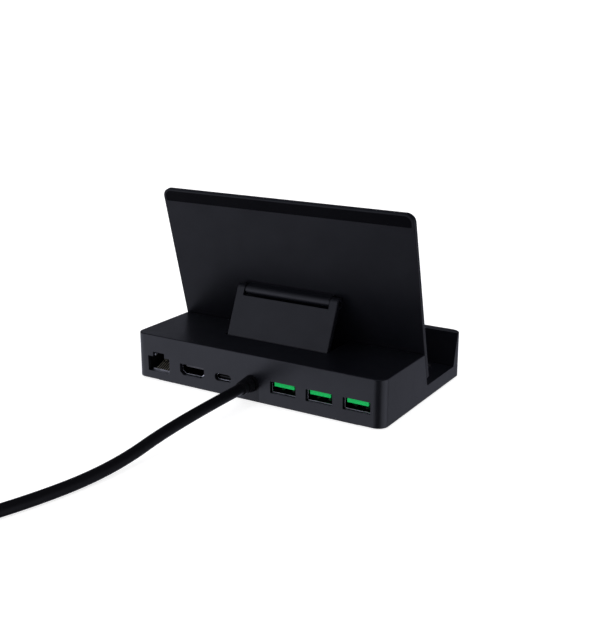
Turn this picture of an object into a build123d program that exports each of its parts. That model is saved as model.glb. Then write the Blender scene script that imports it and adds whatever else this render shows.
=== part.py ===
from build123d import *
import math
import os

# Folding docking stand for a handheld console. Millimetres.
# Frame: origin under the middle of the base on its resting surface, +X to the right seen from the
# front, the console's cradle at the front (-Y), the sockets at the rear (+Y), +Z up.

os.makedirs("parts", exist_ok=True)

# ------------------------------------------------------------------ driving dimensions
base_w = 140.0  # X
base_d = 87.8  # Y
deck_z = 23.6  # top of the deck and of the front lip
shell_z = 0.65  # underside of the shell, the feet stand this far proud
corner_r = 5.0
wall = 2.2
rear_y = base_d / 2
inner_y = rear_y - wall

cradle_z = 7.0  # floor of the cradle
cradle_front_y = -34.4  # foot of the lip's inner face
lip_slope = math.radians(13.5)
lip_round = 1.5
rim_round = 0.5  # all round the top of the shell

lean = math.radians(13.99)  # backrest's lean at rest
plate_y = -7.72  # where the backrest's front face would meet Z = 0
plate_t = 3.16
plate_low = 11.34  # along the backrest from Z = 0
plate_high = 96.6
plate_gap = 0.25  # between the backrest and the notch wall behind it
plate_corner_r = 4.3

pivot_y, pivot_z = 20.3, 20.6  # lower hinge axis, in the base
barrel_y, barrel_z = 10.0, 44.5  # upper hinge axis, between arm and backrest
arm_w = 57.8
arm_r = 2.75  # radius of the arm's two rounded ends
arm_skin = 2.8  # thickness of the arm's panel
slot_w = 49.4
knuckle_r = 2.5

cable_d = 5.2
cable_z = 9.4
boot_l = 9.0

arm_l = math.hypot(pivot_y - barrel_y, barrel_z - pivot_z)
arm_lean = math.atan2(pivot_y - barrel_y, barrel_z - pivot_z)

# ------------------------------------------------------------------ reference planes
front_face = Plane(
    origin=(0, plate_y, 0),
    x_dir=(1, 0, 0),
    z_dir=(0, -math.cos(lean), math.sin(lean)),
)  # local y runs up the backrest
back_face = front_face.offset(-plate_t)
plate_side = Plane(
    origin=back_face.origin,
    x_dir=(0, math.sin(lean), math.cos(lean)),
    z_dir=(-1, 0, 0),
)  # local x runs up the backrest, local y away from its back
arm_side = Plane(
    origin=(0, pivot_y, pivot_z),
    x_dir=(0, -math.sin(arm_lean), math.cos(arm_lean)),
    z_dir=(-1, 0, 0),
)  # local x runs up the arm, local y out of its rear face
barrel_u = (barrel_y - plate_y) * math.sin(lean) + barrel_z * math.cos(lean)
barrel_w = (barrel_y - plate_y) * math.cos(lean) - barrel_z * math.sin(lean) - plate_t


def finish(piece, name):
    """Labels a finished piece and writes its STEP file."""
    piece.part.label = name
    export_step(piece.part, f"parts/{name}.step")


def rear_plane(y):
    """A plane at that Y whose sketches read X to the right and Z up, and which extrudes towards the front."""
    return Plane.XZ.offset(-y)


def wall_face_y(z):
    """Y of the slanted notch wall behind the backrest, at height z."""
    gap_y = plate_y + (plate_t + plate_gap) * math.cos(lean)
    gap_z = -(plate_t + plate_gap) * math.sin(lean)
    return gap_y + (z - gap_z) * math.tan(lean)


# ------------------------------------------------------------------ sockets' places on the rear wall
usb_a_pitch = 19.45
usb_a_x = [-17.65 - usb_a_pitch * i for i in range(3)]
usb_a_z = 9.5
hdmi_x, hdmi_z = 35.2, 8.8
usb_c_x, usb_c_z = 16.55, 8.9
rj45_x, rj45_low, rj45_shoulder, rj45_top = 55.95, 4.6, 12.4, 14.8
rj45_w, rj45_latch_w = 13.5, 7.2


def hdmi_outline(grow):
    """The socket's outline: square top corners, tapered below."""
    top_w, low_w, high, taper = 14.1 + 2 * grow, 10.1 + 2 * grow, 5.1 + 2 * grow, 1.7
    x, top, low = hdmi_x, hdmi_z + high / 2, hdmi_z - high / 2
    with BuildSketch() as outline:
        with BuildLine():
            Polyline(
                (x - top_w / 2, top),
                (x + top_w / 2, top),
                (x + top_w / 2, low + taper),
                (x + low_w / 2, low),
                (x - low_w / 2, low),
                (x - top_w / 2, low + taper),
                close=True,
            )
        make_face()
        fillet(outline.vertices(), 0.45)
    return outline.sketch


def rj45_outline(grow):
    """The jack's stepped opening: a body for the plug and a latch way above it."""
    with BuildSketch() as outline:
        with Locations((rj45_x, (rj45_low + rj45_shoulder) / 2)):
            Rectangle(rj45_w + 2 * grow, rj45_shoulder - rj45_low + 2 * grow)
        with Locations((rj45_x, (rj45_shoulder - 2 + rj45_top) / 2)):
            Rectangle(rj45_latch_w + 2 * grow, rj45_top - rj45_shoulder + 2 + 2 * grow)
    return outline.sketch


# ------------------------------------------------------------------ shell of the base
lip_inner_y = cradle_front_y - (deck_z - cradle_z) * math.tan(lip_slope)
with BuildSketch(Plane.YZ) as channel:
    with BuildLine():
        Polyline(
            (wall_face_y(deck_z + 4), deck_z + 4),
            (wall_face_y(cradle_z), cradle_z),
            (cradle_front_y, cradle_z),
            (lip_inner_y, deck_z),
            (-rear_y - 1, deck_z),
            (-rear_y - 1, deck_z + 4),
            close=True,
        )
    make_face()
    fillet(channel.vertices().group_by(Axis.Y)[1].sort_by(Axis.Z)[-1], lip_round)
    fillet(channel.vertices().group_by(Axis.Z)[0].sort_by(Axis.Y)[0], 1.4)
with BuildSketch(Plane.YZ) as plain_channel:
    with BuildLine():
        Polyline(
            (wall_face_y(deck_z + 4), deck_z + 4),
            (wall_face_y(cradle_z), cradle_z),
            (cradle_front_y, cradle_z),
            (lip_inner_y, deck_z),
            (lip_inner_y, deck_z + 4),
            close=True,
        )
    make_face()
with BuildSketch(Plane.YZ) as channel_and_walls:
    add(plain_channel.sketch_local)
    offset(amount=wall - 0.2, kind=Kind.INTERSECTION)

pocket_z = 16.4  # floor of the deck's recess, where the arm's foot turns and folds down
pocket_rear_y = 23.5
pocket_w = arm_w + 1.2
pocket_wall = 1.6
with BuildSketch(Plane.YZ) as pocket:
    with Locations(((pocket_rear_y - 8) / 2, (pocket_z + deck_z + 2) / 2)):
        Rectangle(pocket_rear_y + 8, deck_z + 2 - pocket_z)
with BuildSketch(Plane.YZ) as pocket_and_walls:
    add(pocket.sketch_local)
    offset(amount=pocket_wall, kind=Kind.INTERSECTION)

cover_top = 2.45
post_r = 2.5
screw_head_r = 1.8
deck_posts = [(-62, 6), (-35, 6), (35, 6), (62, 6)]
lip_posts = [(-62.5, -38.9), (62.5, -38.9)]
lip_post_top = 12.0
cover_screw_r = 1.0
cutter_y = rear_y + 0.6  # sockets' cutters start just outside the rear wall
cutter_l = wall + 0.8
slot_half = 4.1  # cable slot in the rear wall
boot_neck_r = 4.05

with BuildPart() as cavity:
    with BuildSketch(Plane.XY.offset(shell_z - 1)):
        RectangleRounded(base_w - 2 * wall, base_d - 2 * wall, corner_r - wall)
    extrude(amount=deck_z - wall - shell_z + 1)
    extrude(channel_and_walls.sketch, amount=base_w, both=True, mode=Mode.SUBTRACT)
    extrude(
        pocket_and_walls.sketch,
        amount=pocket_w / 2 + pocket_wall,
        both=True,
        mode=Mode.SUBTRACT,
    )

with BuildPart() as top_shell:
    with BuildSketch(Plane.XY.offset(shell_z)):
        RectangleRounded(base_w, base_d, corner_r)
    extrude(amount=deck_z - shell_z)
    fillet(top_shell.faces().sort_by(Axis.Z)[-1].edges(), rim_round)
    extrude(channel.sketch, amount=base_w, both=True, mode=Mode.SUBTRACT)
    add(cavity.part, mode=Mode.SUBTRACT)
    with BuildSketch(Plane.XY.offset(cover_top)):
        with Locations(deck_posts):
            Circle(post_r)
    extrude(amount=deck_z - 1.5 - cover_top)
    with BuildSketch(Plane.XY.offset(cover_top)):
        with Locations(lip_posts):
            Circle(post_r)
    extrude(amount=lip_post_top - cover_top)
    extrude(pocket.sketch, amount=pocket_w / 2, both=True, mode=Mode.SUBTRACT)
    with BuildSketch(Plane.XY.offset(cover_top)):  # pilot holes of the cover's screws
        with Locations(deck_posts + lip_posts):
            Circle(cover_screw_r + 0.02)
    extrude(amount=7.2, mode=Mode.SUBTRACT)
    with BuildSketch(rear_plane(cutter_y)):
        with Locations([(x, usb_a_z) for x in usb_a_x]):
            RectangleRounded(14.1, 5.9, 0.5)
        with Locations((usb_c_x, usb_c_z)):
            RectangleRounded(9.7, 3.9, 1.9)
        with Locations((0, cable_z)):
            Circle(boot_neck_r + 0.1)
        with Locations((0, cable_z / 2)):
            Rectangle(2 * slot_half, cable_z)
        add(hdmi_outline(0.35))
        add(rj45_outline(0))
    extrude(amount=cutter_l, mode=Mode.SUBTRACT)

cradle_pad_w, cradle_pad_front, cradle_pad_rear = 120.0, -31.5, -7.5
cradle_pad_sink, cradle_pad_t = 0.6, 0.9
cradle_pad_mid = (cradle_pad_front + cradle_pad_rear) / 2
bracket_holes = [(-22, 15), (-6, 15), (6, 15), (22, 15)]
with BuildPart(mode=Mode.PRIVATE) as shell_details:
    with BuildSketch(Plane.XY.offset(cradle_z - cradle_pad_sink)):
        with Locations((0, cradle_pad_mid)):
            RectangleRounded(cradle_pad_w, cradle_pad_rear - cradle_pad_front, 2.0)
    extrude(amount=cradle_pad_sink + 1)
    with BuildSketch(Plane.XY.offset(pocket_z - pocket_wall - 0.5)):
        with Locations(bracket_holes):
            Circle(0.85)
    extrude(amount=pocket_wall + 1)
top_shell.part = top_shell.part - shell_details.part
finish(top_shell, "top_shell")

# ------------------------------------------------------------------ underside: cover, feet, screws
cover_gap = 0.2
foot_l, foot_w, foot_in = 116.0, 8.4, 1.1  # the feet stop just inside the shell's rear and front faces
foot_groove_top = shell_z + 0.6
foot_y = rear_y - foot_in - foot_w / 2
pcb_low, pcb_t = 4.6, 1.6
pcb_top = pcb_low + pcb_t
pcb_screw_places = [(-62, 16.5), (62, 16.5), (24.3, 38), (-27.4, 38)]

with BuildPart() as bottom_cover:
    with BuildSketch(Plane.XY.offset(shell_z)):
        RectangleRounded(
            base_w - 2 * wall - 2 * cover_gap,
            base_d - 2 * wall - 2 * cover_gap,
            corner_r - wall - cover_gap,
        )
        with Locations((0, rear_y - 3)):
            Rectangle(2 * slot_half - 0.2, 6)
    extrude(amount=cover_top - shell_z)
    with BuildSketch(rear_plane(rear_y)):  # tongue that closes the cable slot below the boot
        with Locations((0, (shell_z + cable_z) / 2)):
            Rectangle(2 * slot_half - 0.2, cable_z - shell_z)
        with Locations((0, cable_z)):
            Circle(boot_neck_r + 0.1, mode=Mode.SUBTRACT)
    extrude(amount=wall - 0.1)
    with BuildSketch(Plane.XY.offset(cover_top)):  # bosses under the circuit board
        with Locations(pcb_screw_places):
            Circle(2.2)
    extrude(amount=pcb_low - cover_top)
    with BuildSketch(Plane.XY.offset(shell_z)):  # grooves of the feet
        with Locations((0, foot_y), (0, -foot_y)):
            Rectangle(foot_l + 0.1, foot_w + 0.1)
    extrude(amount=foot_groove_top - shell_z, mode=Mode.SUBTRACT)
    with BuildSketch(Plane.XY.offset(shell_z)):
        with Locations(deck_posts + lip_posts):
            Circle(screw_head_r + 0.2)
    extrude(amount=0.95, mode=Mode.SUBTRACT)
    with BuildSketch(Plane.XY.offset(shell_z)):
        with Locations(deck_posts + lip_posts):
            Circle(cover_screw_r + 0.1)
    extrude(amount=cover_top, mode=Mode.SUBTRACT)
    with BuildSketch(Plane.XY.offset(pcb_low)):
        with Locations(pcb_screw_places):
            Circle(0.82)
    extrude(amount=-1.8, mode=Mode.SUBTRACT)
finish(bottom_cover, "bottom_cover")

with BuildPart() as rubber_feet:
    for side in (1, -1):
        with BuildSketch(Plane.XY):
            with Locations((0, side * foot_y)):
                RectangleRounded(foot_l, foot_w, 1.5)
        extrude(amount=shell_z)
        with BuildSketch(Plane.XY.offset(shell_z)):  # the part held in the cover's groove
            with Locations((0, side * (foot_y - 1.0))):
                RectangleRounded(foot_l, foot_w - 2.0, 0.5)
        extrude(amount=foot_groove_top - shell_z)
finish(rubber_feet, "rubber_feet")

with BuildPart() as cover_screws:
    with BuildSketch(Plane.XY.offset(shell_z + 0.1)):
        with Locations(deck_posts + lip_posts):
            Circle(screw_head_r)
            RegularPolygon(0.8, 6, mode=Mode.SUBTRACT)
    extrude(amount=0.85)
    with BuildSketch(Plane.XY.offset(shell_z + 0.6)):
        with Locations(deck_posts + lip_posts):
            Circle(cover_screw_r)
    extrude(amount=8.2)
finish(cover_screws, "cover_screws")

with BuildPart() as cradle_pad:
    with BuildSketch(Plane.XY.offset(cradle_z - cradle_pad_sink)):
        with Locations((0, cradle_pad_mid)):
            RectangleRounded(cradle_pad_w - 0.2, cradle_pad_rear - cradle_pad_front - 0.2, 1.9)
    extrude(amount=cradle_pad_t)
    fillet(cradle_pad.faces().sort_by(Axis.Z)[-1].edges(), 0.25)
finish(cradle_pad, "cradle_pad")

# ------------------------------------------------------------------ circuit board and what it carries
pcb_front, pcb_rear, pcb_half = 13.0, 41.3, 66.0
jack_front, jack_back = 41.6, 22.4  # the network jack sinks into a cut-out of the board
jack_half, jack_low, jack_high = 8.0, 3.9, 16.1
shield_t = 0.3
lip_t = 0.3  # the shield's front edge turns up inside the jack's mouth
lip_high = 5.35

with BuildPart() as main_pcb:
    with BuildSketch(Plane.XY.offset(pcb_low)) as board:
        with Locations((0, (pcb_front + pcb_rear) / 2)):
            Rectangle(2 * pcb_half, pcb_rear - pcb_front)
        chamfer(board.vertices(), 1.5)
        with Locations((rj45_x, jack_back - 0.3 + 15)):
            Rectangle(2 * jack_half + 0.6, 30, mode=Mode.SUBTRACT)
        with Locations((0, pcb_rear)):  # clears the cable boot's flange
            Rectangle(12, 3.4, mode=Mode.SUBTRACT)
        with Locations(pcb_screw_places):
            Circle(0.95, mode=Mode.SUBTRACT)
    extrude(amount=pcb_t)
finish(main_pcb, "main_pcb")

with BuildPart() as pcb_screws:
    with BuildSketch(Plane.XY.offset(pcb_top)):
        with Locations(pcb_screw_places):
            Circle(1.6)
            Rectangle(1.9, 0.4, mode=Mode.SUBTRACT)
    extrude(amount=0.9)
    with BuildSketch(Plane.XY.offset(pcb_top + 0.3)):
        with Locations(pcb_screw_places):
            Circle(0.8)
    extrude(amount=-3.3)
finish(pcb_screws, "pcb_screws")

with BuildPart() as rj45_shield:
    with BuildSketch(rear_plane(jack_front)):
        with Locations((rj45_x, (jack_low + jack_high) / 2)):
            Rectangle(2 * jack_half, jack_high - jack_low)
    extrude(amount=jack_front - jack_back)
    with BuildSketch(rear_plane(jack_front)):
        with Locations((rj45_x, (jack_low + jack_high) / 2)):
            Rectangle(2 * (jack_half - shield_t), jack_high - jack_low - 2 * shield_t)
    extrude(amount=jack_front - jack_back - shield_t, mode=Mode.SUBTRACT)
    with BuildSketch(rear_plane(jack_front)):
        with Locations((rj45_x - 0.55, (jack_low + lip_high) / 2)):
            Rectangle(12.0, lip_high - jack_low)
        with Locations((rj45_x + rj45_latch_w / 2 + 0.5, (12.7 + jack_high) / 2)):
            Rectangle(0.7, jack_high - 12.7)
    extrude(amount=lip_t)
    with BuildSketch(rear_plane(jack_front + 1.2)):  # the latch spring's bent tip
        with Locations((rj45_x + rj45_latch_w / 2 - 0.55, 13.25)):
            RectangleRounded(0.9, 1.0, 0.3)
    extrude(amount=1.2 + lip_t)
    with BuildSketch(rear_plane(jack_front)):
        with Locations((rj45_x + rj45_latch_w / 2 + 0.05, 13.15)):
            Rectangle(0.9, 0.5)
    extrude(amount=lip_t)
finish(rj45_shield, "rj45_shield")

housing_half, housing_low, housing_high = jack_half - shield_t - 0.05, jack_low + 0.4, jack_high - 0.4
housing_front = jack_front - lip_t - 0.1
jack_depth = 12.7
with BuildPart() as rj45_housing:
    with BuildSketch(rear_plane(housing_front)):
        with Locations((rj45_x, (housing_low + housing_high) / 2)):
            Rectangle(2 * housing_half, housing_high - housing_low)
        add(rj45_outline(0), mode=Mode.SUBTRACT)
    extrude(amount=jack_depth)
    with BuildSketch(rear_plane(housing_front - jack_depth)):
        with Locations((rj45_x, (housing_low + housing_high) / 2)):
            Rectangle(2 * housing_half, housing_high - housing_low)
    extrude(amount=housing_front - jack_depth - jack_back - shield_t - 0.2)
finish(rj45_housing, "rj45_housing")

contact_pitch, contact_w = 1.27, 0.3
with BuildPart() as rj45_contacts:
    with BuildSketch(Plane.YZ.offset(rj45_x - 3.5 * contact_pitch - contact_w / 2)):
        with BuildLine():
            Polyline((40.1, 4.62), (40.5, 4.62), (33.55, 7.72), (28.65, 7.72), (28.65, 7.5), (33.45, 7.5), close=True)
        make_face()
    first_contact = extrude(amount=contact_w)
    with Locations([(contact_pitch * i, 0, 0) for i in range(1, 8)]):
        add(first_contact)
finish(rj45_contacts, "rj45_contacts")

hdmi_front, hdmi_back = rear_y - 1.7, 32.6
with BuildPart() as hdmi_shell:
    with BuildSketch(rear_plane(hdmi_front)):
        add(hdmi_outline(0))
    extrude(amount=hdmi_front - hdmi_back)
    with BuildSketch(rear_plane(hdmi_front)):
        add(hdmi_outline(-shield_t))
    extrude(amount=hdmi_front - hdmi_back - shield_t, mode=Mode.SUBTRACT)
finish(hdmi_shell, "hdmi_shell")

with BuildPart() as hdmi_tongue:
    with BuildSketch(rear_plane(hdmi_back + shield_t + 1.6)):
        with Locations((hdmi_x, hdmi_z + 1.2)):
            Rectangle(12.3, 1.8)
    extrude(amount=1.55)
    with BuildSketch(rear_plane(hdmi_front - 1.3)):
        with Locations((hdmi_x, hdmi_z + 1.25)):
            Rectangle(11.2, 0.9)
    extrude(amount=hdmi_front - 1.3 - hdmi_back - shield_t - 0.05)
finish(hdmi_tongue, "hdmi_tongue")

usb_c_front, usb_c_back = rear_y - 1.6, 36.4
usb_c_w, usb_c_h = 9.0, 3.25
with BuildPart() as usb_c_shell:
    with BuildSketch(rear_plane(usb_c_front)):
        with Locations((usb_c_x, usb_c_z)):
            RectangleRounded(usb_c_w, usb_c_h, usb_c_h / 2 - 0.01)
    extrude(amount=usb_c_front - usb_c_back)
    with BuildSketch(rear_plane(usb_c_front)):
        with Locations((usb_c_x, usb_c_z)):
            RectangleRounded(usb_c_w - 0.6, usb_c_h - 0.6, usb_c_h / 2 - 0.31)
    extrude(amount=usb_c_front - usb_c_back - 0.3, mode=Mode.SUBTRACT)
    with BuildSketch(Plane.XY.offset(pcb_top)):
        with Locations((usb_c_x - 2.4, usb_c_back + 2), (usb_c_x + 2.4, usb_c_back + 2)):
            Rectangle(1.2, 1.6)
    extrude(amount=usb_c_z - usb_c_h / 2 - pcb_top + 0.1)
finish(usb_c_shell, "usb_c_shell")

with BuildPart() as usb_c_tongue:
    with BuildSketch(rear_plane(usb_c_back + 1.8)):
        with Locations((usb_c_x, usb_c_z)):
            RectangleRounded(usb_c_w - 0.7, usb_c_h - 0.7, usb_c_h / 2 - 0.36)
    extrude(amount=1.45)
    with BuildSketch(rear_plane(usb_c_front - 0.5)):
        with Locations((usb_c_x, usb_c_z)):
            RectangleRounded(6.7, 0.65, 0.2)
    extrude(amount=usb_c_front - 0.5 - usb_c_back - 1)
finish(usb_c_tongue, "usb_c_tongue")

usb_a_front, usb_a_back = rear_y - 1.4, 30.2
usb_a_w, usb_a_h = 13.4, 5.5
tongue_w, tongue_t = 10.9, 2.0
tongue_mid = usb_a_z + usb_a_h / 2 - shield_t - 0.1 - tongue_t / 2
spring_out, spring_in = 41.4, 36.0
for port, port_x in enumerate(usb_a_x, start=1):
    with BuildPart() as usb_a_shell:
        with BuildSketch(rear_plane(usb_a_front)):
            with Locations((port_x, usb_a_z)):
                RectangleRounded(usb_a_w, usb_a_h, 0.45)
        extrude(amount=usb_a_front - usb_a_back)
        with BuildSketch(rear_plane(usb_a_front)):
            with Locations((port_x, usb_a_z)):
                Rectangle(usb_a_w - 2 * shield_t, usb_a_h - 2 * shield_t)
        extrude(amount=usb_a_front - usb_a_back - shield_t, mode=Mode.SUBTRACT)
        low_z = usb_a_z - usb_a_h / 2
        for spring_x in (port_x - 3.2, port_x + 3.2):  # sprung tongues pressed up from the shell's floor
            with BuildSketch(Plane.YZ.offset(spring_x - 1.1)):
                with BuildLine():
                    Polyline(
                        (spring_out, low_z + 0.1),
                        (spring_in + 0.9, low_z + shield_t + 0.75),
                        (spring_in, low_z + shield_t + 0.55),
                        (spring_in, low_z + 0.1),
                        close=True,
                    )
                make_face()
            extrude(amount=2.2)
        with BuildSketch(Plane.XY.offset(pcb_top)):  # solder feet on the board
            with Locations([(port_x + dx, y) for dx in (-5, 5) for y in (32, 39)]):
                Rectangle(1.2, 1.6)
        extrude(amount=low_z - pcb_top + 0.1)
    finish(usb_a_shell, f"usb_a_shell_{port}")

    with BuildPart() as usb_a_tongue:
        with BuildSketch(rear_plane(usb_a_back + shield_t + 2.4)):
            with Locations((port_x, usb_a_z)):
                Rectangle(usb_a_w - 2 * shield_t - 0.1, usb_a_h - 2 * shield_t - 0.1)
        extrude(amount=2.35)
        with BuildSketch(rear_plane(usb_a_front - 0.15)):
            with Locations((port_x, tongue_mid)):
                RectangleRounded(tongue_w, tongue_t, 0.25)
        extrude(amount=usb_a_front - 0.15 - usb_a_back - shield_t - 1)
    finish(usb_a_tongue, f"usb_a_tongue_{port}")

with BuildPart() as usb_a_contacts:
    for port_x in usb_a_x:
        with BuildSketch(Plane.XY.offset(tongue_mid - tongue_t / 2 - 0.2)):
            with Locations([(port_x + dx, 37.9) for dx in (-3.5, -1, 1, 3.5)]):
                Rectangle(1.0, 7.6)
        extrude(amount=0.19)
finish(usb_a_contacts, "usb_a_contacts")

chips = [(-15, 21, 9, 1.0), (13, 21, 10, 1.1), (38, 20, 7, 0.9), (30, 20, 5, 0.9)]
with BuildPart() as controller_chips:
    for x, y, side, high in chips:
        with BuildSketch(Plane.XY.offset(pcb_top)):
            with Locations((x, y)):
                Rectangle(side, side)
        extrude(amount=high)
finish(controller_chips, "controller_chips")

spreader_z = 8.2
with BuildPart() as thermal_pads:
    for x, y, side, high in chips[:2]:
        with BuildSketch(Plane.XY.offset(pcb_top + high)):
            with Locations((x, y)):
                Rectangle(side, side)
        extrude(amount=spreader_z - pcb_top - high)
finish(thermal_pads, "thermal_pads")

with BuildPart() as heat_spreader:
    with BuildSketch(Plane.XY.offset(spreader_z)):
        with Locations((-1, 21)):
            RectangleRounded(46, 12, 1)
    extrude(amount=1.0)
    with BuildSketch(Plane.XY.offset(spreader_z + 1.0)):
        with Locations([(-1, 16.6 + 2.2 * i) for i in range(5)]):
            Rectangle(44, 0.8)
    extrude(amount=1.6)
finish(heat_spreader, "heat_spreader")

with BuildPart() as ethernet_transformer:
    with BuildSketch(Plane.XY.offset(pcb_top)):
        with Locations((51.5, 17.3)):
            Rectangle(14, 7.2)
    extrude(amount=5.4)
    fillet(ethernet_transformer.edges().filter_by(Axis.Z), 0.5)
finish(ethernet_transformer, "ethernet_transformer")

with BuildPart() as power_inductors:
    with BuildSketch(Plane.XY.offset(pcb_top)):
        with Locations((-33, 20.5), (-41.5, 20.5)):
            RectangleRounded(7, 7, 1.2)
    extrude(amount=3.2)
finish(power_inductors, "power_inductors")

with BuildPart() as bulk_capacitors:
    with BuildSketch(Plane.XY.offset(pcb_top)):
        with Locations((-49.5, 22), (-56.5, 22)):
            Circle(2.9)
    extrude(amount=6.4)
    fillet(bulk_capacitors.faces().group_by(Axis.Z)[-1].edges(), 0.5)
finish(bulk_capacitors, "bulk_capacitors")

# ------------------------------------------------------------------ captive cable: header, inner end, boot
header_rear = 34.5
with BuildPart() as cable_header:
    with BuildSketch(rear_plane(header_rear)):
        with Locations((0, pcb_top + 3.1)):
            Rectangle(10.5, 6.2)
    extrude(amount=6)
    fillet(cable_header.edges().filter_by(Axis.Z), 0.6)
finish(cable_header, "cable_header")

boot_end = rear_y + boot_l
boot_flange_r, boot_root_r, boot_tip_r = 5.0, 4.15, 3.15
boot_inner_y = inner_y - 1.4
with BuildPart() as inner_cable:
    with BuildSketch(rear_plane(boot_inner_y)):
        with Locations((0, cable_z)):
            Circle(cable_d / 2)
    extrude(amount=boot_inner_y - header_rear)
finish(inner_cable, "inner_cable")

boot_side = Plane(origin=(0, 0, cable_z), x_dir=(0, 1, 0), z_dir=(1, 0, 0))  # local x along the cable
ring_count, ring_pitch, ring_gap, ring_start = 3, 2.2, 0.7, 1.6
with BuildPart() as strain_relief_boot:
    with BuildSketch(boot_side):
        with BuildLine():
            Polyline(
                (boot_inner_y, 0),
                (boot_inner_y, boot_flange_r),
                (inner_y - 0.05, boot_flange_r),
                (inner_y - 0.05, boot_neck_r),
                (rear_y, boot_neck_r),
                (rear_y, boot_root_r),
                (boot_end, boot_tip_r),
                (boot_end, 0),
                close=True,
            )
        make_face()
    revolve(axis=Axis((0, 0, cable_z), (0, 1, 0)))
    fillet(strain_relief_boot.edges().filter_by(GeomType.CIRCLE).sort_by(Axis.Y)[-1], 0.35)
    for ring in range(ring_count):  # flex slits, open left and right in turn
        slit_y = rear_y + ring_start + ring_pitch * ring
        side = 1 if ring % 2 else -1
        with BuildSketch(rear_plane(slit_y + ring_gap)):
            with Locations((side * 4.3, cable_z)):
                Rectangle(6.0, 12)
            with Locations((0, cable_z)):
                Circle(cable_d / 2 + 0.4, mode=Mode.SUBTRACT)
        extrude(amount=ring_gap, mode=Mode.SUBTRACT)
finish(strain_relief_boot, "strain_relief_boot")

# ------------------------------------------------------------------ lower hinge, in the deck's recess
bracket_t = 1.0
lower_pin_r, lower_knuckle_r = 1.0, 2.0
knuckle_in, knuckle_out = 12.0, 20.0
washer_gap = 0.4
with BuildPart() as lower_hinge_bracket:
    with BuildSketch(Plane.XY.offset(pocket_z)) as bracket_plan:
        with Locations((0, 17.7)):
            RectangleRounded(50, 10.6, 1.5)
        with Locations(bracket_holes):
            Circle(0.85, mode=Mode.SUBTRACT)
    extrude(amount=bracket_t)
    for side in (1, -1):
        with BuildSketch(Plane.YZ.offset(side * knuckle_in)):
            with Locations((pivot_y, pivot_z)):
                Circle(lower_knuckle_r)
            with Locations((pivot_y, (pocket_z + 0.5 + pivot_z) / 2)):
                Rectangle(3.0, pivot_z - pocket_z - 0.5)
            with Locations((pivot_y, pivot_z)):
                Circle(lower_pin_r + 0.02, mode=Mode.SUBTRACT)
        extrude(amount=side * (knuckle_out - knuckle_in))
finish(lower_hinge_bracket, "lower_hinge_bracket")

with BuildPart() as bracket_screws:
    with BuildSketch(Plane.XY.offset(pocket_z + bracket_t)):
        with Locations(bracket_holes):
            Circle(1.5)
            Rectangle(1.8, 0.4, mode=Mode.SUBTRACT)
    extrude(amount=0.75)
    with BuildSketch(Plane.XY.offset(pocket_z + bracket_t + 0.3)):
        with Locations(bracket_holes):
            Circle(0.8)
    extrude(amount=-3.0)
finish(bracket_screws, "bracket_screws")

with BuildPart() as lower_hinge_pin:
    with BuildSketch(Plane.YZ):
        with Locations((pivot_y, pivot_z)):
            Circle(lower_pin_r)
    extrude(amount=27.5, both=True)
finish(lower_hinge_pin, "lower_hinge_pin")

with BuildPart() as lower_friction_washers:
    for side_x in (knuckle_in - 0.35, knuckle_out + 0.05, -knuckle_in + 0.05, -knuckle_out - 0.35):
        with BuildSketch(Plane.YZ.offset(side_x)):
            with Locations((pivot_y, pivot_z)):
                Circle(1.9)
                Circle(lower_pin_r + 0.03, mode=Mode.SUBTRACT)
        extrude(amount=0.3)
finish(lower_friction_washers, "lower_friction_washers")

# ------------------------------------------------------------------ support arm and upper hinge
slot_bottom = 22.3  # along the arm from the lower axis
upper_pin_r = 1.25
relief_top = 2.6
with BuildPart() as support_arm:
    with BuildSketch(arm_side):
        Circle(arm_r)
        with Locations((arm_l, 0)):
            Circle(arm_r)
        with Locations((arm_l / 2, arm_r - arm_skin / 2)):
            Rectangle(arm_l, arm_skin)
    extrude(amount=arm_w / 2, both=True)
    with BuildSketch(arm_side):
        with Locations((slot_bottom + 5, 0)):
            Rectangle(10, 8)
    extrude(amount=slot_w / 2, both=True, mode=Mode.SUBTRACT)
    fillet(support_arm.edges().filter_by(lambda e: e.length > 15).filter_by(Axis.X, reverse=True), 0.3)
    for side in (1, -1):  # room for the bracket's knuckles, under the arm's outer skin
        middle = side * (knuckle_in + knuckle_out) / 2
        with BuildSketch(Plane(origin=(middle, pivot_y, pivot_z), x_dir=arm_side.x_dir, z_dir=(-1, 0, 0))):
            with Locations((-2, 0)):
                Rectangle(4, 8)
            with Locations(((relief_top - 4) / 2, -1.0)):
                Rectangle(relief_top + 4, 6.7)
        extrude(amount=(knuckle_out - knuckle_in) / 2 + washer_gap, both=True, mode=Mode.SUBTRACT)
    with BuildSketch(arm_side):
        Circle(lower_pin_r + 0.05)
    extrude(amount=arm_w, both=True, mode=Mode.SUBTRACT)
    with BuildSketch(arm_side):
        with Locations((arm_l, 0)):
            Circle(upper_pin_r + 0.02)
    extrude(amount=arm_w, both=True, mode=Mode.SUBTRACT)
finish(support_arm, "support_arm")

with BuildPart() as upper_hinge_pin:
    with BuildSketch(Plane.YZ):
        with Locations((barrel_y, barrel_z)):
            Circle(upper_pin_r)
    extrude(amount=arm_w / 2 - 0.3, both=True)
finish(upper_hinge_pin, "upper_hinge_pin")

leaf_half = 24.1
with BuildPart() as upper_friction_washers:
    for side_x in (leaf_half + 0.1, -leaf_half - 0.5):
        with BuildSketch(Plane.YZ.offset(side_x)):
            with Locations((barrel_y, barrel_z)):
                Circle(2.3)
                Circle(upper_pin_r + 0.02, mode=Mode.SUBTRACT)
        extrude(amount=0.4)
finish(upper_friction_washers, "upper_friction_washers")

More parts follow.
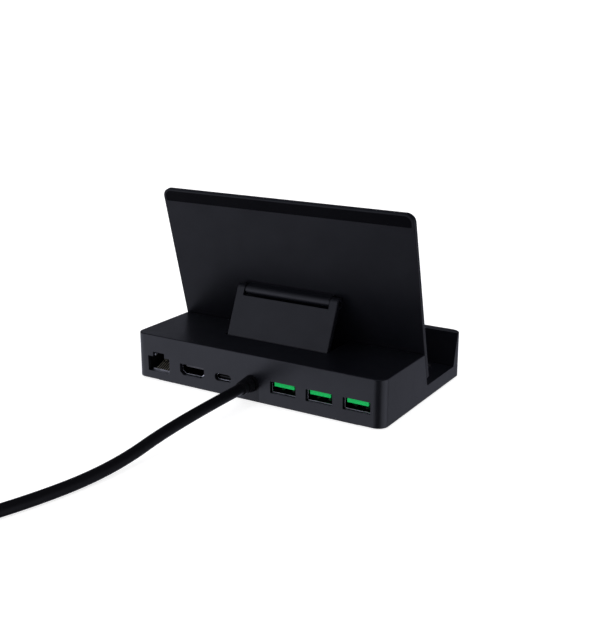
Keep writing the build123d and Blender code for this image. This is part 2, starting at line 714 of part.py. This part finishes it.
leaf_low, leaf_t = 34.5, 1.6
leaf_screw_places = [(-18, 38.6), (-6, 38.6), (6, 38.6), (18, 38.6)]
with BuildPart() as hinge_leaf:
    with BuildSketch(plate_side):
        with Locations(((leaf_low + barrel_u) / 2, leaf_t / 2)):
            Rectangle(barrel_u - leaf_low, leaf_t)
        with BuildLine():
            Polyline(
                (barrel_u + knuckle_r, 0),
                (barrel_u + knuckle_r, barrel_w),
                (barrel_u - knuckle_r, barrel_w),
                (barrel_u - knuckle_r - 1.8, leaf_t),
                (barrel_u - knuckle_r - 1.8, 0),
                close=True,
            )
        make_face()
        with Locations((barrel_u, barrel_w)):
            Circle(knuckle_r)
    extrude(amount=leaf_half, both=True)
    with BuildSketch(Plane.YZ):
        with Locations((barrel_y, barrel_z)):
            Circle(upper_pin_r + 0.05)
    extrude(amount=leaf_half + 1, both=True, mode=Mode.SUBTRACT)
    with BuildSketch(back_face):
        with Locations(leaf_screw_places):
            Circle(0.95)
    extrude(amount=-leaf_t - 1, mode=Mode.SUBTRACT)
    with BuildSketch(back_face.offset(-0.8)):
        with Locations(leaf_screw_places):
            Circle(1.75)
    extrude(amount=-leaf_t, mode=Mode.SUBTRACT)
finish(hinge_leaf, "hinge_leaf")

with BuildPart() as leaf_screws:
    with BuildSketch(back_face.offset(-0.82)):
        with Locations(leaf_screw_places):
            Circle(1.65)
    extrude(amount=-0.75)
    with BuildSketch(back_face.offset(-0.9)):
        with Locations(leaf_screw_places):
            Circle(0.9)
    extrude(amount=2.9)
    with BuildSketch(back_face.offset(-1.3)):
        with Locations(leaf_screw_places):
            Rectangle(1.9, 0.4)
            Rectangle(0.4, 1.9)
    extrude(amount=-1, mode=Mode.SUBTRACT)
finish(leaf_screws, "leaf_screws")

# ------------------------------------------------------------------ backrest
strip_low, strip_high, strip_half, strip_sink = 90.2, 95.7, 68.6, 0.6
rest_pad_w, rest_pad_low, rest_pad_high, rest_pad_sink = 124.0, 30.0, 90.0, 0.7


def top_strip_outline(clear):
    """The inlaid strip below the backrest's top edge: its upper corners follow the backrest's."""
    with BuildSketch() as outline:
        with Locations((0, (strip_low + strip_high) / 2)):
            Rectangle(2 * (strip_half - clear), strip_high - strip_low - 2 * clear)
        fillet(outline.vertices().group_by(Axis.Y)[-1], 3.3)
        fillet(outline.vertices().group_by(Axis.Y)[0], 0.8)
    return outline.sketch


with BuildPart() as backrest_plate:
    with BuildSketch(front_face) as plate_outline:
        with Locations((0, (plate_low + plate_high) / 2)):
            Rectangle(base_w, plate_high - plate_low)
        fillet(plate_outline.vertices().group_by(Axis.Y)[-1], plate_corner_r)
        fillet(plate_outline.vertices().group_by(Axis.Y)[0], 1.0)
    extrude(amount=-plate_t)
    out_of_back = Axis((0, 0, 0), (0, math.cos(lean), -math.sin(lean)))
    fillet(backrest_plate.faces().filter_by(out_of_back).sort_by(out_of_back)[0].edges(), 1.2)
    fillet(backrest_plate.faces().filter_by(out_of_back).sort_by(out_of_back)[-1].edges(), 0.35)
    with BuildSketch(back_face):
        add(top_strip_outline(0))
    extrude(amount=strip_sink, mode=Mode.SUBTRACT)
    with BuildSketch(front_face):
        with Locations((0, (rest_pad_low + rest_pad_high) / 2)):
            RectangleRounded(rest_pad_w, rest_pad_high - rest_pad_low, 3.0)
    extrude(amount=-rest_pad_sink, mode=Mode.SUBTRACT)
    with BuildSketch(back_face):
        with Locations(leaf_screw_places):
            Circle(0.92)
    extrude(amount=2.1, mode=Mode.SUBTRACT)
finish(backrest_plate, "backrest_plate")

with BuildPart() as top_strip:
    with BuildSketch(back_face.offset(strip_sink - 0.02)):
        add(top_strip_outline(0.12))
    extrude(amount=-strip_sink + 0.12)
finish(top_strip, "top_strip")

with BuildPart() as backrest_pad:
    with BuildSketch(front_face.offset(-rest_pad_sink)):
        with Locations((0, (rest_pad_low + rest_pad_high) / 2)):
            RectangleRounded(rest_pad_w - 0.2, rest_pad_high - rest_pad_low - 0.2, 2.9)
    extrude(amount=1.0)
    into_front = Axis((0, 0, 0), (0, -math.cos(lean), math.sin(lean)))
    fillet(backrest_pad.faces().filter_by(into_front).sort_by(into_front)[-1].edges(), 0.25)
finish(backrest_pad, "backrest_pad")

# ------------------------------------------------------------------ the captive cable outside the base
rest_z = cable_d / 2  # the cable's middle where it lies on the table
plug_z = 3.1
cable_route = [
    (0, boot_end, cable_z),
    (0, 101, cable_z),
    (2.5, 140, rest_z),
    (11, 182, rest_z),
    (28, 220, rest_z),
    (55, 250, plug_z),
    (89, 268, plug_z),
]
points = [Vector(p) for p in cable_route]
runs = [b - a for a, b in zip(points, points[1:])]
arc_radii = []
for before, after in zip(runs, runs[1:]):
    half_turn = math.radians(before.get_angle(after)) / 2
    arc_radii.append(0.45 * min(before.length, after.length) / math.tan(half_turn))
print("arc radii", [round(r, 1) for r in arc_radii], "runs", [round(r.length, 1) for r in runs])

with BuildPart() as cable:
    with BuildLine() as cable_path:
        FilletPolyline(*points, radius=arc_radii)
    with BuildSketch(Plane(origin=points[0], z_dir=runs[0])):
        Circle(cable_d / 2)
    sweep(path=cable_path.line)
cable_length = cable_path.wire().length
filled = cable.part.volume / (math.pi * cable_d**2 / 4 * cable_length)
print("cable length", round(cable_length, 2), "share of section times length", round(filled, 4))
finish(cable, "cable")

plug_w, plug_h, plug_l, plug_neck_l = 10.6, 6.2, 18.0, 6.0
plug_way = runs[-1].normalized()
plug_plane = Plane(origin=points[-1], x_dir=(plug_way.Y, -plug_way.X, 0), z_dir=plug_way)
with BuildPart() as plug_overmold:
    with BuildSketch(plug_plane):
        Circle(2.9)
    with BuildSketch(plug_plane.offset(plug_neck_l)):
        RectangleRounded(plug_w, plug_h, 2.8)
    loft()
    with BuildSketch(plug_plane.offset(plug_neck_l)):
        RectangleRounded(plug_w, plug_h, 2.8)
    extrude(amount=plug_l)
    front_edges = plug_overmold.faces().sort_by(Axis(points[-1], plug_way))[-1].edges()
    fillet(front_edges, 0.6)
finish(plug_overmold, "plug_overmold")

tip_w, tip_h, tip_l, tip_t = 8.3, 2.5, 6.6, 0.3
with BuildPart() as plug_tip:
    with BuildSketch(plug_plane.offset(plug_neck_l + plug_l)):
        RectangleRounded(tip_w, tip_h, tip_h / 2 - 0.01)
    extrude(amount=tip_l)
    with BuildSketch(plug_plane.offset(plug_neck_l + plug_l + 0.8)):
        RectangleRounded(tip_w - 2 * tip_t, tip_h - 2 * tip_t, tip_h / 2 - tip_t - 0.01)
    extrude(amount=tip_l, mode=Mode.SUBTRACT)
finish(plug_tip, "plug_tip")
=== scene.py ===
import math

import bpy
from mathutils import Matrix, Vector


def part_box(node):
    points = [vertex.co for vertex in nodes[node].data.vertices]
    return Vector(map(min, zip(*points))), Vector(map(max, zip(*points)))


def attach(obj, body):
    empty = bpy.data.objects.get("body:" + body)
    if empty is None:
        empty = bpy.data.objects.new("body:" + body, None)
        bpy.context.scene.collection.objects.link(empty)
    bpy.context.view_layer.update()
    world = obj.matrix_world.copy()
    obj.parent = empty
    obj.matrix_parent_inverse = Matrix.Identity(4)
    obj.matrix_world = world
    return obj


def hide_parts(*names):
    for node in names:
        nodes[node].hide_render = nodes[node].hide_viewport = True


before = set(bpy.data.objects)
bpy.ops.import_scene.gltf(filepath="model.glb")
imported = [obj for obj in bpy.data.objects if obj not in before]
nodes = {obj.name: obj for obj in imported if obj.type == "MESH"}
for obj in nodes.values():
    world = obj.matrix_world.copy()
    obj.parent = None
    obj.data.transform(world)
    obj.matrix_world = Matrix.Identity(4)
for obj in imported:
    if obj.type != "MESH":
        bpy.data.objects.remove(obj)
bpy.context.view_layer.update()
MM = 0.001

# ------------------------------------------------------------------ camera
CAMERA_PLACE = (-0.25289, 0.41419, 0.17546)
CAMERA_TURN, CAMERA_DIP = math.radians(31.373), math.radians(16.089)  # from -Y towards +X, and down
CAMERA_LENS, CAMERA_SENSOR = 58.58, 36.0
CAMERA_NEAR, CAMERA_FAR = 0.01, 60.0


def make_camera():
    """Stands behind the object, on its -X side, and looks down at it a little."""
    level = math.cos(CAMERA_DIP)
    look = Vector((math.sin(CAMERA_TURN) * level, -math.cos(CAMERA_TURN) * level, -math.sin(CAMERA_DIP)))
    data = bpy.data.cameras.new("camera")
    data.sensor_width = CAMERA_SENSOR
    data.lens = CAMERA_LENS
    data.clip_start, data.clip_end = CAMERA_NEAR, CAMERA_FAR
    camera = bpy.data.objects.new("camera", data)
    camera.location = CAMERA_PLACE
    camera.rotation_mode = "QUATERNION"
    camera.rotation_quaternion = look.to_track_quat("-Z", "Y")
    bpy.context.scene.collection.objects.link(camera)
    bpy.context.scene.camera = camera


make_camera()

# ------------------------------------------------------------------ captive cable
cable_thick = 5.2 * MM
boot_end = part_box("strain_relief_boot")[1].y
rest_z, plug_z, exit_z = 0.0026, 0.0031, 0.0094  # on the table, at the plug, at the boot
cable_route = [
    (0, boot_end, exit_z),
    (0, 0.101, exit_z),
    (0.0025, 0.140, rest_z),
    (0.011, 0.182, rest_z),
    (0.028, 0.220, rest_z),
    (0.055, 0.250, plug_z),
    (0.089, 0.268, plug_z),
]


def make_cable():
    """The cable from its boot to its plug, one smooth line that lies on the table."""
    curve = bpy.data.curves.new("cable_jacket", "CURVE")
    curve.dimensions = "3D"
    curve.bevel_depth = 1.0  # times each point's radius
    curve.bevel_resolution = 8
    curve.resolution_u = 24
    curve.use_fill_caps = True
    spline = curve.splines.new("NURBS")
    spline.points.add(len(cable_route) - 1)
    for point, place in zip(spline.points, cable_route):
        point.co = (*place, 1)
        point.radius = cable_thick / 2
    spline.order_u = 3
    spline.use_endpoint_u = True
    cable = bpy.data.objects.new("cable_jacket", curve)
    bpy.context.scene.collection.objects.link(cable)
    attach(cable, "base")
    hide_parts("cable")
    return cable


cable = make_cable()

# ------------------------------------------------------------------ material tools
EDGE_SHARP, EDGE_FLAT = 0.86, 0.995  # how far a rounded normal agrees with the true one
WAVE_PERIOD = 2 * math.pi / 20  # width of one band of the wave texture at scale 1


class Build:
    """One material and short ways to add nodes to it."""

    def __init__(self, name):
        self.material = bpy.data.materials.new(name)
        self.material.use_nodes = True
        self.nodes = self.material.node_tree.nodes
        self.shader = self.nodes["Principled BSDF"]
        self.place = self.nodes.new("ShaderNodeTexCoord").outputs["Object"]

    def link(self, source, target):
        self.material.node_tree.links.new(source, target)

    def noise(self, size, detail=4.0, roughness=0.55, stretch=(1, 1, 1)):
        """Noise whose blotches are about that size, in metres."""
        mapping = self.nodes.new("ShaderNodeMapping")
        mapping.inputs["Scale"].default_value = stretch
        self.link(self.place, mapping.inputs["Vector"])
        node = self.nodes.new("ShaderNodeTexNoise")
        node.inputs["Scale"].default_value = 1 / size
        node.inputs["Detail"].default_value = detail
        node.inputs["Roughness"].default_value = roughness
        self.link(mapping.outputs["Vector"], node.inputs["Vector"])
        return node.outputs["Fac"]

    def span(self, source, low, high, start=0.3, end=0.7):
        """Maps a 0 to 1 pattern onto low to high."""
        node = self.nodes.new("ShaderNodeMapRange")
        for key, value in (("From Min", start), ("From Max", end), ("To Min", low), ("To Max", high)):
            node.inputs[key].default_value = value
        self.link(source, node.inputs["Value"])
        return node.outputs["Result"]

    def blend(self, share, a, b):
        """Mixes two colours, or two colour outputs, by a 0 to 1 pattern."""
        node = self.nodes.new("ShaderNodeMix")
        node.data_type = "RGBA"
        self.link(share, node.inputs["Factor"])
        for socket, colour in zip((node.inputs[6], node.inputs[7]), (a, b)):
            if isinstance(colour, tuple):
                socket.default_value = (*colour, 1)
            else:
                self.link(colour, socket)
        return node.outputs[2]

    def bump(self, height, distance, strength=1.0, under=None):
        """Adds relief, on top of an earlier bump if one is given."""
        node = self.nodes.new("ShaderNodeBump")
        node.inputs["Distance"].default_value = distance
        node.inputs["Strength"].default_value = strength
        self.link(height, node.inputs["Height"])
        if under:
            self.link(under, node.inputs["Normal"])
        return node.outputs["Normal"]

    def edges(self, radius):
        """1 on sharp outer and inner edges, 0 on flats."""
        bevel = self.nodes.new("ShaderNodeBevel")
        bevel.samples = 4
        bevel.inputs["Radius"].default_value = radius
        geometry = self.nodes.new("ShaderNodeNewGeometry")
        dot = self.nodes.new("ShaderNodeVectorMath")
        dot.operation = "DOT_PRODUCT"
        self.link(bevel.outputs["Normal"], dot.inputs[0])
        self.link(geometry.outputs["Normal"], dot.inputs[1])
        return self.span(dot.outputs["Value"], 1, 0, EDGE_SHARP, EDGE_FLAT)

    def split(self, vector):
        """The X, Y and Z outputs of a vector."""
        node = self.nodes.new("ShaderNodeSeparateXYZ")
        self.link(vector, node.inputs["Vector"])
        return node.outputs

    def combine(self, operation, a, b):
        """The result of one math operation on two outputs."""
        node = self.nodes.new("ShaderNodeMath")
        node.operation = operation
        self.link(a, node.inputs[0])
        self.link(b, node.inputs[1])
        return node.outputs["Value"]

    def set(self, **values):
        """Links outputs to, or puts constants on, the shader's inputs of those names."""
        for key, value in values.items():
            socket = self.shader.inputs[key.replace("_", " ")]
            if isinstance(value, bpy.types.NodeSocket):
                self.link(value, socket)
            else:
                socket.default_value = (*value, 1) if isinstance(value, tuple) else value
        return self.material


# ------------------------------------------------------------------ materials
BRUSHED_ALONG_X = (12, 1, 1)
BRUSHED_ALONG_Z = (1, 1, 12)


def moulded_plastic(name, dark, light, smooth, rough, gloss=0.5):
    """Fine spark-eroded plastic: tight grain, slow changes of sheen, edges painted a little paler as a
    highlight.
    """
    grain, relief, edge, paler = 0.35 * MM, 0.012 * MM, 0.5 * MM, 1.6
    pale_grain_and_edge_highlight = tuple(paler * c for c in light)
    b = Build(name)
    colour = b.blend(b.span(b.noise(0.03, 3), 0, 1), dark, light)
    colour = b.blend(b.span(b.noise(grain * 0.8, 2), 0, 0.35, 0.45, 0.8), colour, pale_grain_and_edge_highlight)
    patchy = b.span(b.noise(0.009, 5), 0, 0.6, 0.35, 0.65)
    # Painted highlight: sharp edges are coloured paler in patches, standing in for light caught on them.
    colour = b.blend(b.combine("MULTIPLY", b.edges(edge), patchy), colour, pale_grain_and_edge_highlight)
    sheen = b.noise(0.012, 6, 0.6)
    normal = b.bump(b.noise(0.02, 2), 0.05 * MM, 0.3)
    normal = b.bump(b.noise(grain, 5, 0.7), relief, 1.0, normal)
    b.set(Specular_IOR_Level=gloss)
    return b.set(Base_Color=colour, Roughness=b.span(sheen, smooth, rough), Normal=normal, IOR=1.5)


def rubber(name, dark, light, rough, ribs=None, gloss=0.4):
    """Soft matt silicone with a little dust in its grain, and finely ribbed if a pitch is given."""
    b = Build(name)
    dust = b.noise(0.0006, 6, 0.75)
    colour = b.blend(b.span(dust, 0, 1, 0.5, 0.85), dark, light)
    normal = b.bump(b.noise(0.0004, 4, 0.7), 0.00004)
    if ribs:
        wave = b.nodes.new("ShaderNodeTexWave")
        wave.bands_direction = "X"
        wave.wave_profile = "SIN"
        wave.inputs["Scale"].default_value = WAVE_PERIOD / ribs
        b.link(b.place, wave.inputs["Vector"])
        normal = b.bump(wave.outputs["Fac"], 0.0003, 0.8, normal)
    sheen = b.span(b.noise(0.015, 4), rough - 0.1, rough + 0.1)
    b.set(Specular_IOR_Level=gloss)
    return b.set(Base_Color=colour, Roughness=sheen, Normal=normal, IOR=1.45)


def plated_steel(name, colour, dull, smooth=0.22, rough=0.4, brushed=BRUSHED_ALONG_Z, metal=1.0):
    """Stamped and plated sheet: drawn lines, dull spots, and a soft polish."""
    b = Build(name)
    lines = b.noise(0.003, 6, 0.7, brushed)
    tone = b.blend(b.span(b.noise(0.002, 5), 0, 1, 0.4, 0.75), colour, dull)
    normal = b.bump(lines, 0.00002, 0.7)
    return b.set(Base_Color=tone, Metallic=metal, Roughness=b.span(lines, smooth, rough), Normal=normal)


def circuit_board():
    """Solder mask over faint copper tracks and pads."""
    bricks_per_metre, gap = 160, 0.03
    b = Build("circuit_board")
    grid = b.nodes.new("ShaderNodeTexBrick")
    grid.inputs["Scale"].default_value = bricks_per_metre
    grid.inputs["Mortar Size"].default_value = gap
    b.link(b.place, grid.inputs["Vector"])
    tracks = b.blend(grid.outputs["Fac"], (0.008, 0.06, 0.022), (0.02, 0.13, 0.045))
    stain = b.blend(b.span(b.noise(0.012, 4), 0, 0.5), tracks, (0.005, 0.04, 0.02))
    normal = b.bump(grid.outputs["Fac"], 0.00003)
    sheen = b.span(b.noise(0.01), 0.25, 0.4)
    return b.set(Base_Color=stain, Roughness=sheen, Normal=normal, Coat_Weight=0.3)


def socket_shell():
    """Plated steel that is bright at the rim and on the springs, and painted black deeper in as shade.
    """
    rim_back, rim_front = 0.0418, 0.0421  # Y
    spring_foot, spring_top = 0.00715, 0.0074  # Z
    b = Build("socket_nickel")
    place = b.split(b.place)
    facing = b.split(b.nodes.new("ShaderNodeNewGeometry").outputs["Normal"])
    rim = b.span(place["Y"], 0, 1, rim_back, rim_front)
    raised = b.span(place["Z"], 0, 1, spring_foot, spring_top)
    upward = b.span(facing["Z"], 0, 1, 0.75, 0.95)
    lit = b.combine("MAXIMUM", rim, b.combine("MULTIPLY", raised, upward))
    lines = b.noise(0.003, 6, 0.7, BRUSHED_ALONG_Z)
    spots = b.span(b.noise(0.002, 5), 0, 1, 0.4, 0.75)
    bright = b.blend(spots, (0.80, 0.80, 0.83), (0.55, 0.55, 0.58))
    # Painted shade: the steel inside the socket is coloured near black, away from the rim and the
    # springs' upward faces.
    tone = b.blend(lit, (0.004, 0.004, 0.005), bright)
    polish = b.span(lines, 0.25, 0.4)
    return b.set(Base_Color=tone, Metallic=1.0, Roughness=polish, Normal=b.bump(lines, 0.00002, 0.7))


def socket_tongue():
    """Green where the tongue stands free, and painted black as shade on the block that holds it."""
    block_top, tongue_foot = 0.0096, 0.0097  # Z
    b = Build("tongue_green")
    green = b.blend(b.span(b.noise(0.001, 4), 0, 1), (0.001, 0.42, 0.085), (0.002, 0.50, 0.11))
    shade = b.blend(b.span(b.noise(0.0008, 4), 0, 1), (0.002, 0.002, 0.002), (0.004, 0.004, 0.004))
    # Painted shade: the holding block deep in the socket is coloured near black instead of green.
    colour = b.blend(b.span(b.split(b.place)["Z"], 0, 1, block_top, tongue_foot), shade, green)
    relief = b.bump(b.noise(0.0003, 4, 0.7), 0.000008)
    sheen = b.span(b.noise(0.003), 0.35, 0.5)
    b.set(Specular_IOR_Level=0.15)
    return b.set(Base_Color=colour, Roughness=sheen, Normal=relief, IOR=1.5)


ink = moulded_plastic("shell_plastic",
                      (0.0022, 0.0024, 0.0040), (0.0030, 0.0032, 0.0050), 0.29, 0.37)
lid_ink = moulded_plastic("cover_plastic",
                          (0.003, 0.003, 0.0045), (0.005, 0.005, 0.0065), 0.45, 0.58)
arm_ink = moulded_plastic("arm_plastic",
                          (0.0022, 0.0024, 0.0040), (0.0030, 0.0032, 0.0048), 0.34, 0.44)
plate_ink = moulded_plastic("plate_plastic",
                            (0.0020, 0.0021, 0.0036), (0.0028, 0.0030, 0.0046), 0.34, 0.44, 0.26)
strip_ink = moulded_plastic("strip_plastic",
                            (0.0008, 0.0008, 0.0016), (0.0014, 0.0014, 0.0022), 0.42, 0.5, 0.05)
jack_ink = moulded_plastic("jack_plastic",
                           (0.0015, 0.0015, 0.002), (0.003, 0.003, 0.0035), 0.4, 0.55, 0.3)
chip_ink = moulded_plastic("chip_plastic", (0.012, 0.012, 0.013), (0.02, 0.02, 0.021), 0.5, 0.65)
# Painted light: the HDMI tongue is coloured pale grey so that its face shows lit inside the socket.
tongue_ink = moulded_plastic("tongue_plastic", (0.035, 0.035, 0.045), (0.05, 0.05, 0.06), 0.35, 0.5)
green = socket_tongue()
foot_grip = rubber("foot_rubber", (0.008, 0.008, 0.009), (0.03, 0.03, 0.031), 0.78, ribs=0.754 * MM)
pad_grip = rubber("pad_rubber", (0.008, 0.008, 0.010), (0.018, 0.018, 0.020), 0.7, ribs=1.257 * MM)
jacket = rubber("cable_rubber", (0.0018, 0.0018, 0.0026), (0.004, 0.004, 0.005), 0.5, gloss=0.18)
plug_skin = rubber("plug_rubber", (0.003, 0.003, 0.004), (0.007, 0.007, 0.008), 0.55)
soft_blue = rubber("thermal_silicone", (0.30, 0.36, 0.45), (0.4, 0.46, 0.54), 0.8)
socket_metal = socket_shell()
nickel = plated_steel("nickel_shell", (0.85, 0.85, 0.87), (0.6, 0.6, 0.62))
steel = plated_steel("pin_steel", (0.36, 0.36, 0.37), (0.24, 0.24, 0.25), 0.25, 0.4, BRUSHED_ALONG_X)
black_steel = plated_steel("screw_steel", (0.035, 0.035, 0.04), (0.02, 0.02, 0.024), 0.35, 0.5)
gold = plated_steel("contact_gold", (0.55, 0.52, 0.44), (0.30, 0.28, 0.23), 0.3, 0.45, metal=0.45)
alloy = plated_steel("spreader_alloy", (0.7, 0.7, 0.7), (0.5, 0.5, 0.51), 0.3, 0.45, BRUSHED_ALONG_X)
board = circuit_board()

finishes = {
    ink: ["top_shell"],
    lid_ink: ["bottom_cover"],
    arm_ink: ["support_arm", "hinge_leaf"],
    plate_ink: ["backrest_plate"],
    strip_ink: ["top_strip"],
    jack_ink: ["rj45_housing", "usb_c_tongue", "cable_header"],
    tongue_ink: ["hdmi_tongue"],
    chip_ink: ["controller_chips", "ethernet_transformer", "power_inductors"],
    green: ["usb_a_tongue_1", "usb_a_tongue_2", "usb_a_tongue_3"],
    foot_grip: ["rubber_feet"],
    pad_grip: ["cradle_pad", "backrest_pad"],
    jacket: ["strain_relief_boot", "inner_cable"],
    plug_skin: ["plug_overmold"],
    soft_blue: ["thermal_pads"],
    socket_metal: ["hdmi_shell", "usb_c_shell", "usb_a_shell_1", "usb_a_shell_2", "usb_a_shell_3"],
    nickel: ["rj45_shield", "plug_tip"],
    steel: ["lower_hinge_bracket", "lower_hinge_pin", "lower_friction_washers"],
    black_steel: ["cover_screws", "pcb_screws", "bracket_screws", "leaf_screws", "upper_hinge_pin",
                  "upper_friction_washers"],
    gold: ["rj45_contacts", "usb_a_contacts"],
    alloy: ["heat_spreader", "bulk_capacitors"],
    board: ["main_pcb"],
}
for finish, names in finishes.items():
    for name in names:
        nodes[name].data.materials.clear()
        nodes[name].data.materials.append(finish)
cable.data.materials.append(jacket)


# ------------------------------------------------------------------ floor, lights, surroundings
def make_floor():
    """A pale round table that glows a little and curves up into a wall far from the object."""
    sides, steps = 64, 8
    flat, sweep, wall_top = 4.5, 1.5, 4.0
    rings = [(flat, 0.0)]
    for step in range(1, steps + 1):
        bend = math.radians(90) * step / steps
        rings.append((flat + sweep * math.sin(bend), sweep - sweep * math.cos(bend)))
    rings.append((flat + sweep, wall_top))
    corners = [(0, 0, 0)]
    for radius, height in rings:
        for side in range(sides):
            angle = 2 * math.pi * side / sides
            corners.append((radius * math.cos(angle), radius * math.sin(angle), height))
    faces = [(0, 1 + side, 1 + (side + 1) % sides) for side in range(sides)]
    for ring in range(len(rings) - 1):
        low, high = 1 + ring * sides, 1 + (ring + 1) * sides
        for side in range(sides):
            after = (side + 1) % sides
            faces.append((low + side, high + side, high + after, low + after))
    mesh = bpy.data.meshes.new("floor")
    mesh.from_pydata(corners, [], faces)
    mesh.polygons.foreach_set("use_smooth", [True] * len(mesh.polygons))
    b = Build("floor_paper")
    colour = b.blend(b.span(b.noise(0.15, 3), 0, 1), (0.56, 0.56, 0.56), (0.59, 0.59, 0.59))
    b.set(Emission_Color=colour, Emission_Strength=1.28, Specular_IOR_Level=0.1)
    mesh.materials.append(b.set(Base_Color=colour, Roughness=b.span(b.noise(0.05), 0.7, 0.8)))
    floor = bpy.data.objects.new("floor", mesh)
    floor.visible_glossy = False
    floor.visible_shadow = False
    bpy.context.scene.collection.objects.link(floor)


def softbox(name, place, aim, size, watts):
    """A rectangular area light at place, facing aim, that isn't seen in reflections."""
    data = bpy.data.lights.new(name, "AREA")
    data.shape = "RECTANGLE"
    data.size, data.size_y = size
    data.energy = watts
    light = bpy.data.objects.new(name, data)
    light.location = place
    light.rotation_mode = "QUATERNION"
    light.rotation_quaternion = (Vector(aim) - Vector(place)).to_track_quat("-Z", "Y")
    light.visible_glossy = False
    bpy.context.scene.collection.objects.link(light)


ROOM_LEVEL = 0.02
ROOM_TINT = (0.90, 0.93, 1.12)
# Each glow: direction, brightness, then in degrees how far out it is full and where it ends
GLOWS = (
    ((0.62, 0.74, -0.25), 0.86, 5, 42),  # seen in the rear wall
    ((0.50, 0.74, 0.48), 0.42, 5, 36),  # seen in the backrest and the arm
    ((-0.66, -0.70, -0.276), 0.23, 12, 55),  # seen in the end wall
    ((-0.93, 0.0, -0.30), 0.72, 15, 46),  # seen in the upright corner between them
    ((0.75, -0.65, 0.276), 0.14, 5, 33),  # seen in the deck's far end
    ((0.40, -0.80, -0.50), 0.9, 10, 40),  # lights the front
    ((0.95, -0.1, -0.35), 0.6, 10, 36),  # lights the other end
    ((0, 0, 1), 0.3, 5, 35),  # lights the top
)


def make_surroundings():
    """A dark room with the soft glows in it."""
    world = bpy.data.worlds.new("room")
    world.use_nodes = True
    tree = world.node_tree

    def add(a, b):
        """The sum of an output and an output or a number."""
        node = tree.nodes.new("ShaderNodeMath")
        node.operation = "ADD"
        tree.links.new(a, node.inputs[0])
        if isinstance(b, float):
            node.inputs[1].default_value = b
        else:
            tree.links.new(b, node.inputs[1])
        return node.outputs["Value"]

    place = tree.nodes.new("ShaderNodeTexCoord")
    total = None
    for toward, strength, inner, outer in GLOWS:
        dot = tree.nodes.new("ShaderNodeVectorMath")
        dot.operation = "DOT_PRODUCT"
        dot.inputs[1].default_value = Vector(toward).normalized()
        tree.links.new(place.outputs["Generated"], dot.inputs[0])
        span = tree.nodes.new("ShaderNodeMapRange")
        span.interpolation_type = "SMOOTHSTEP"
        span.inputs["From Min"].default_value = math.cos(math.radians(outer))
        span.inputs["From Max"].default_value = math.cos(math.radians(inner))
        span.inputs["To Min"].default_value = 0.0
        span.inputs["To Max"].default_value = strength
        tree.links.new(dot.outputs["Value"], span.inputs["Value"])
        total = add(total, span.outputs["Result"]) if total else span.outputs["Result"]
    tint = tree.nodes.new("ShaderNodeMix")
    tint.data_type = "RGBA"
    tint.blend_type = "MULTIPLY"
    tint.inputs["Factor"].default_value = 1.0
    tint.inputs[6].default_value = (*ROOM_TINT, 1)
    tree.links.new(add(total, ROOM_LEVEL), tint.inputs[7])
    tree.links.new(tint.outputs[2], tree.nodes["Background"].inputs["Color"])
    tree.nodes["Background"].inputs["Strength"].default_value = 1.0
    bpy.context.scene.world = world


make_floor()
make_surroundings()
softbox("overhead", (0.1, 0.1, 3.0), (0, 0, 0), (5, 5), 72)
bpy.context.scene.view_settings.view_transform = "Standard"
